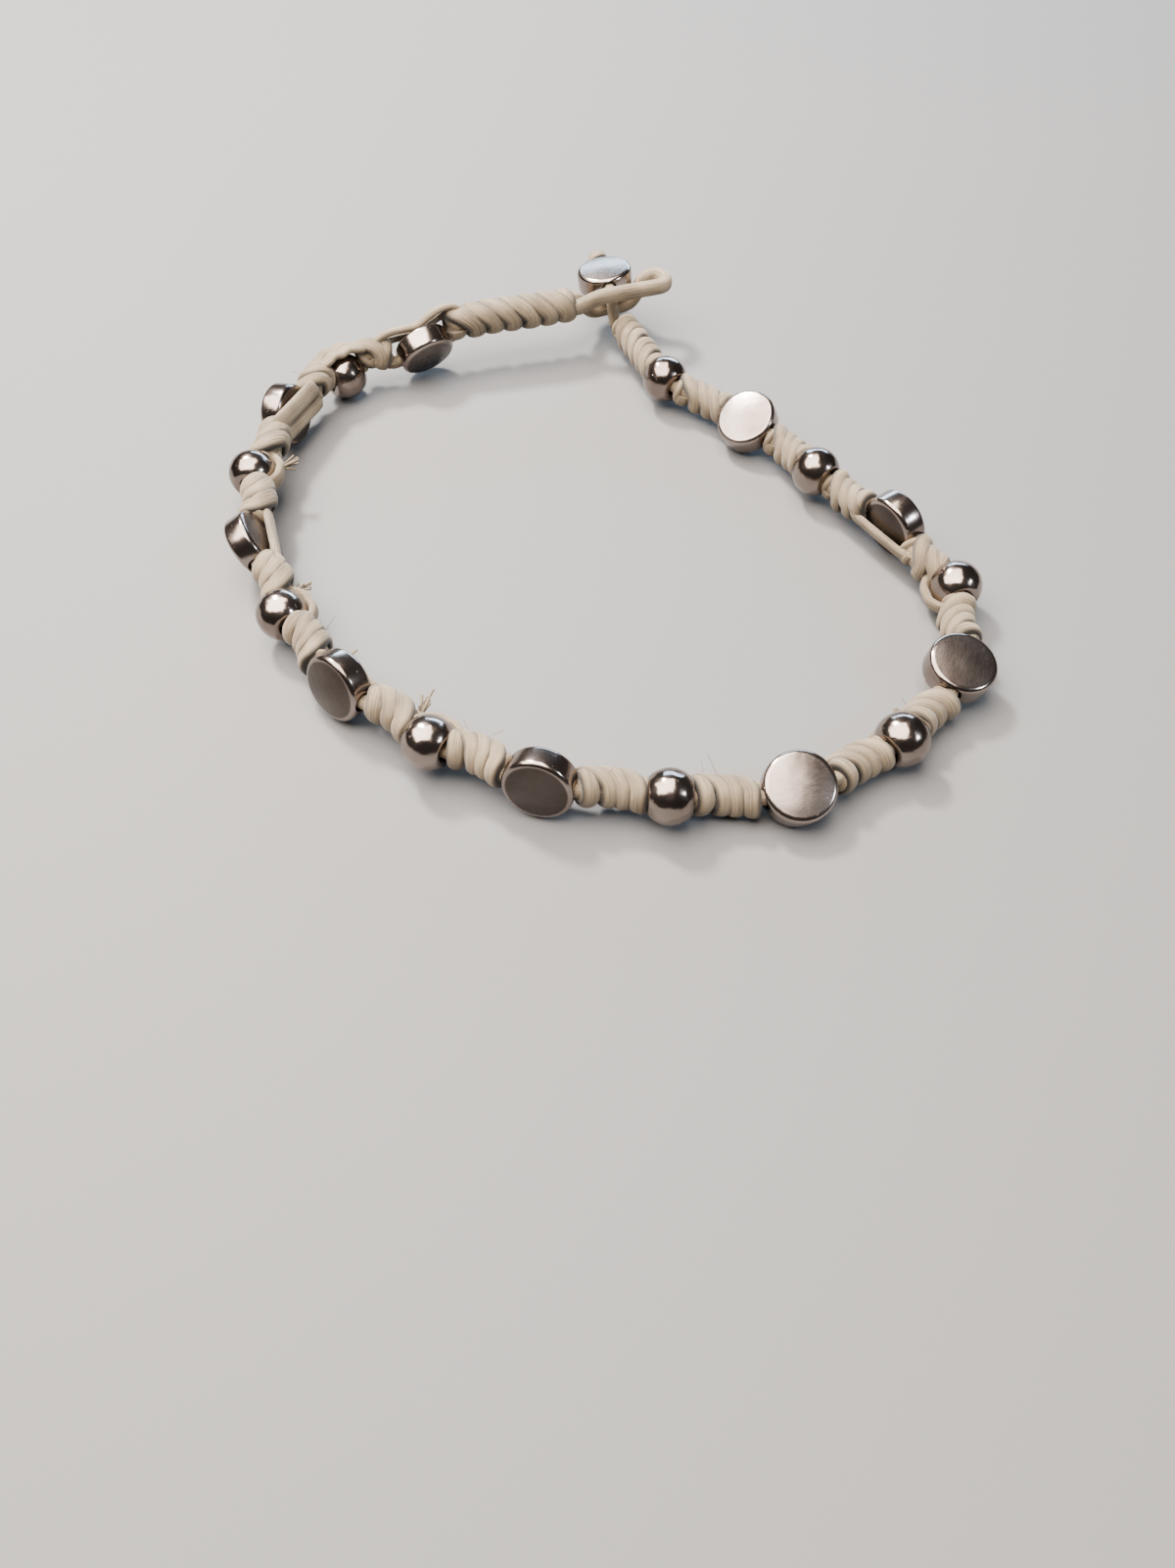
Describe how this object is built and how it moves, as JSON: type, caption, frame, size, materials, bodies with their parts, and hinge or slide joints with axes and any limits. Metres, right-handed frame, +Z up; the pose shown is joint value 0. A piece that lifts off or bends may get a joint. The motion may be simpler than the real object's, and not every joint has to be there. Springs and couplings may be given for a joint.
{
  "type": "beaded cord bracelet",
  "caption": "Knotted waxed-cord bracelet with round and coin-shaped metal beads, closed by a cord loop over a coin bead.",
  "frame": {"origin": "on the table, under the middle of the fastened bracelet's box", "axes": "+Z up from the table; +Y towards the clasp, which lies at the back; +X to the right as seen from the front"},
  "size_m": [0.0586, 0.0638, 0.0061],
  "materials": {
    "coin_metal": "satin faces with fine scratches, polished rims",
    "round_metal": "polished",
    "cord": "waxed twisted fibre",
    "knot_cord": "waxed twisted fibre, wound in bands"
  },
  "bodies": {
    "root": {"round_bead_1": "round_metal", "round_bead_2": "round_metal", "round_bead_3": "round_metal", "round_bead_4": "round_metal", "round_bead_5": "round_metal", "round_bead_6": "round_metal", "round_bead_7": "round_metal", "round_bead_8": "round_metal", "round_bead_9": "round_metal", "disc_bead_1": "coin_metal", "disc_bead_2": "coin_metal", "disc_bead_3": "coin_metal", "disc_bead_4": "coin_metal", "disc_bead_5": "coin_metal", "disc_bead_6": "coin_metal", "disc_bead_7": "coin_metal", "disc_bead_8": "coin_metal", "disc_bead_9": "coin_metal", "button_bead": "coin_metal", "stop_knot": "knot_cord", "bead_thread": "cord", "head_knot": "knot_cord", "knot_1": "knot_cord", "knot_2": "knot_cord", "knot_3": "knot_cord", "knot_4": "knot_cord", "knot_5": "knot_cord", "knot_6": "knot_cord", "knot_7": "knot_cord", "knot_8": "knot_cord", "knot_9": "knot_cord", "knot_10": "knot_cord", "knot_11": "knot_cord", "knot_12": "knot_cord", "knot_13": "knot_cord", "knot_14": "knot_cord", "knot_15": "knot_cord", "knot_16": "knot_cord", "knot_17": "knot_cord", "tail_knot": "knot_cord", "clasp_loop": "cord"}
  },
  "joints": []
}
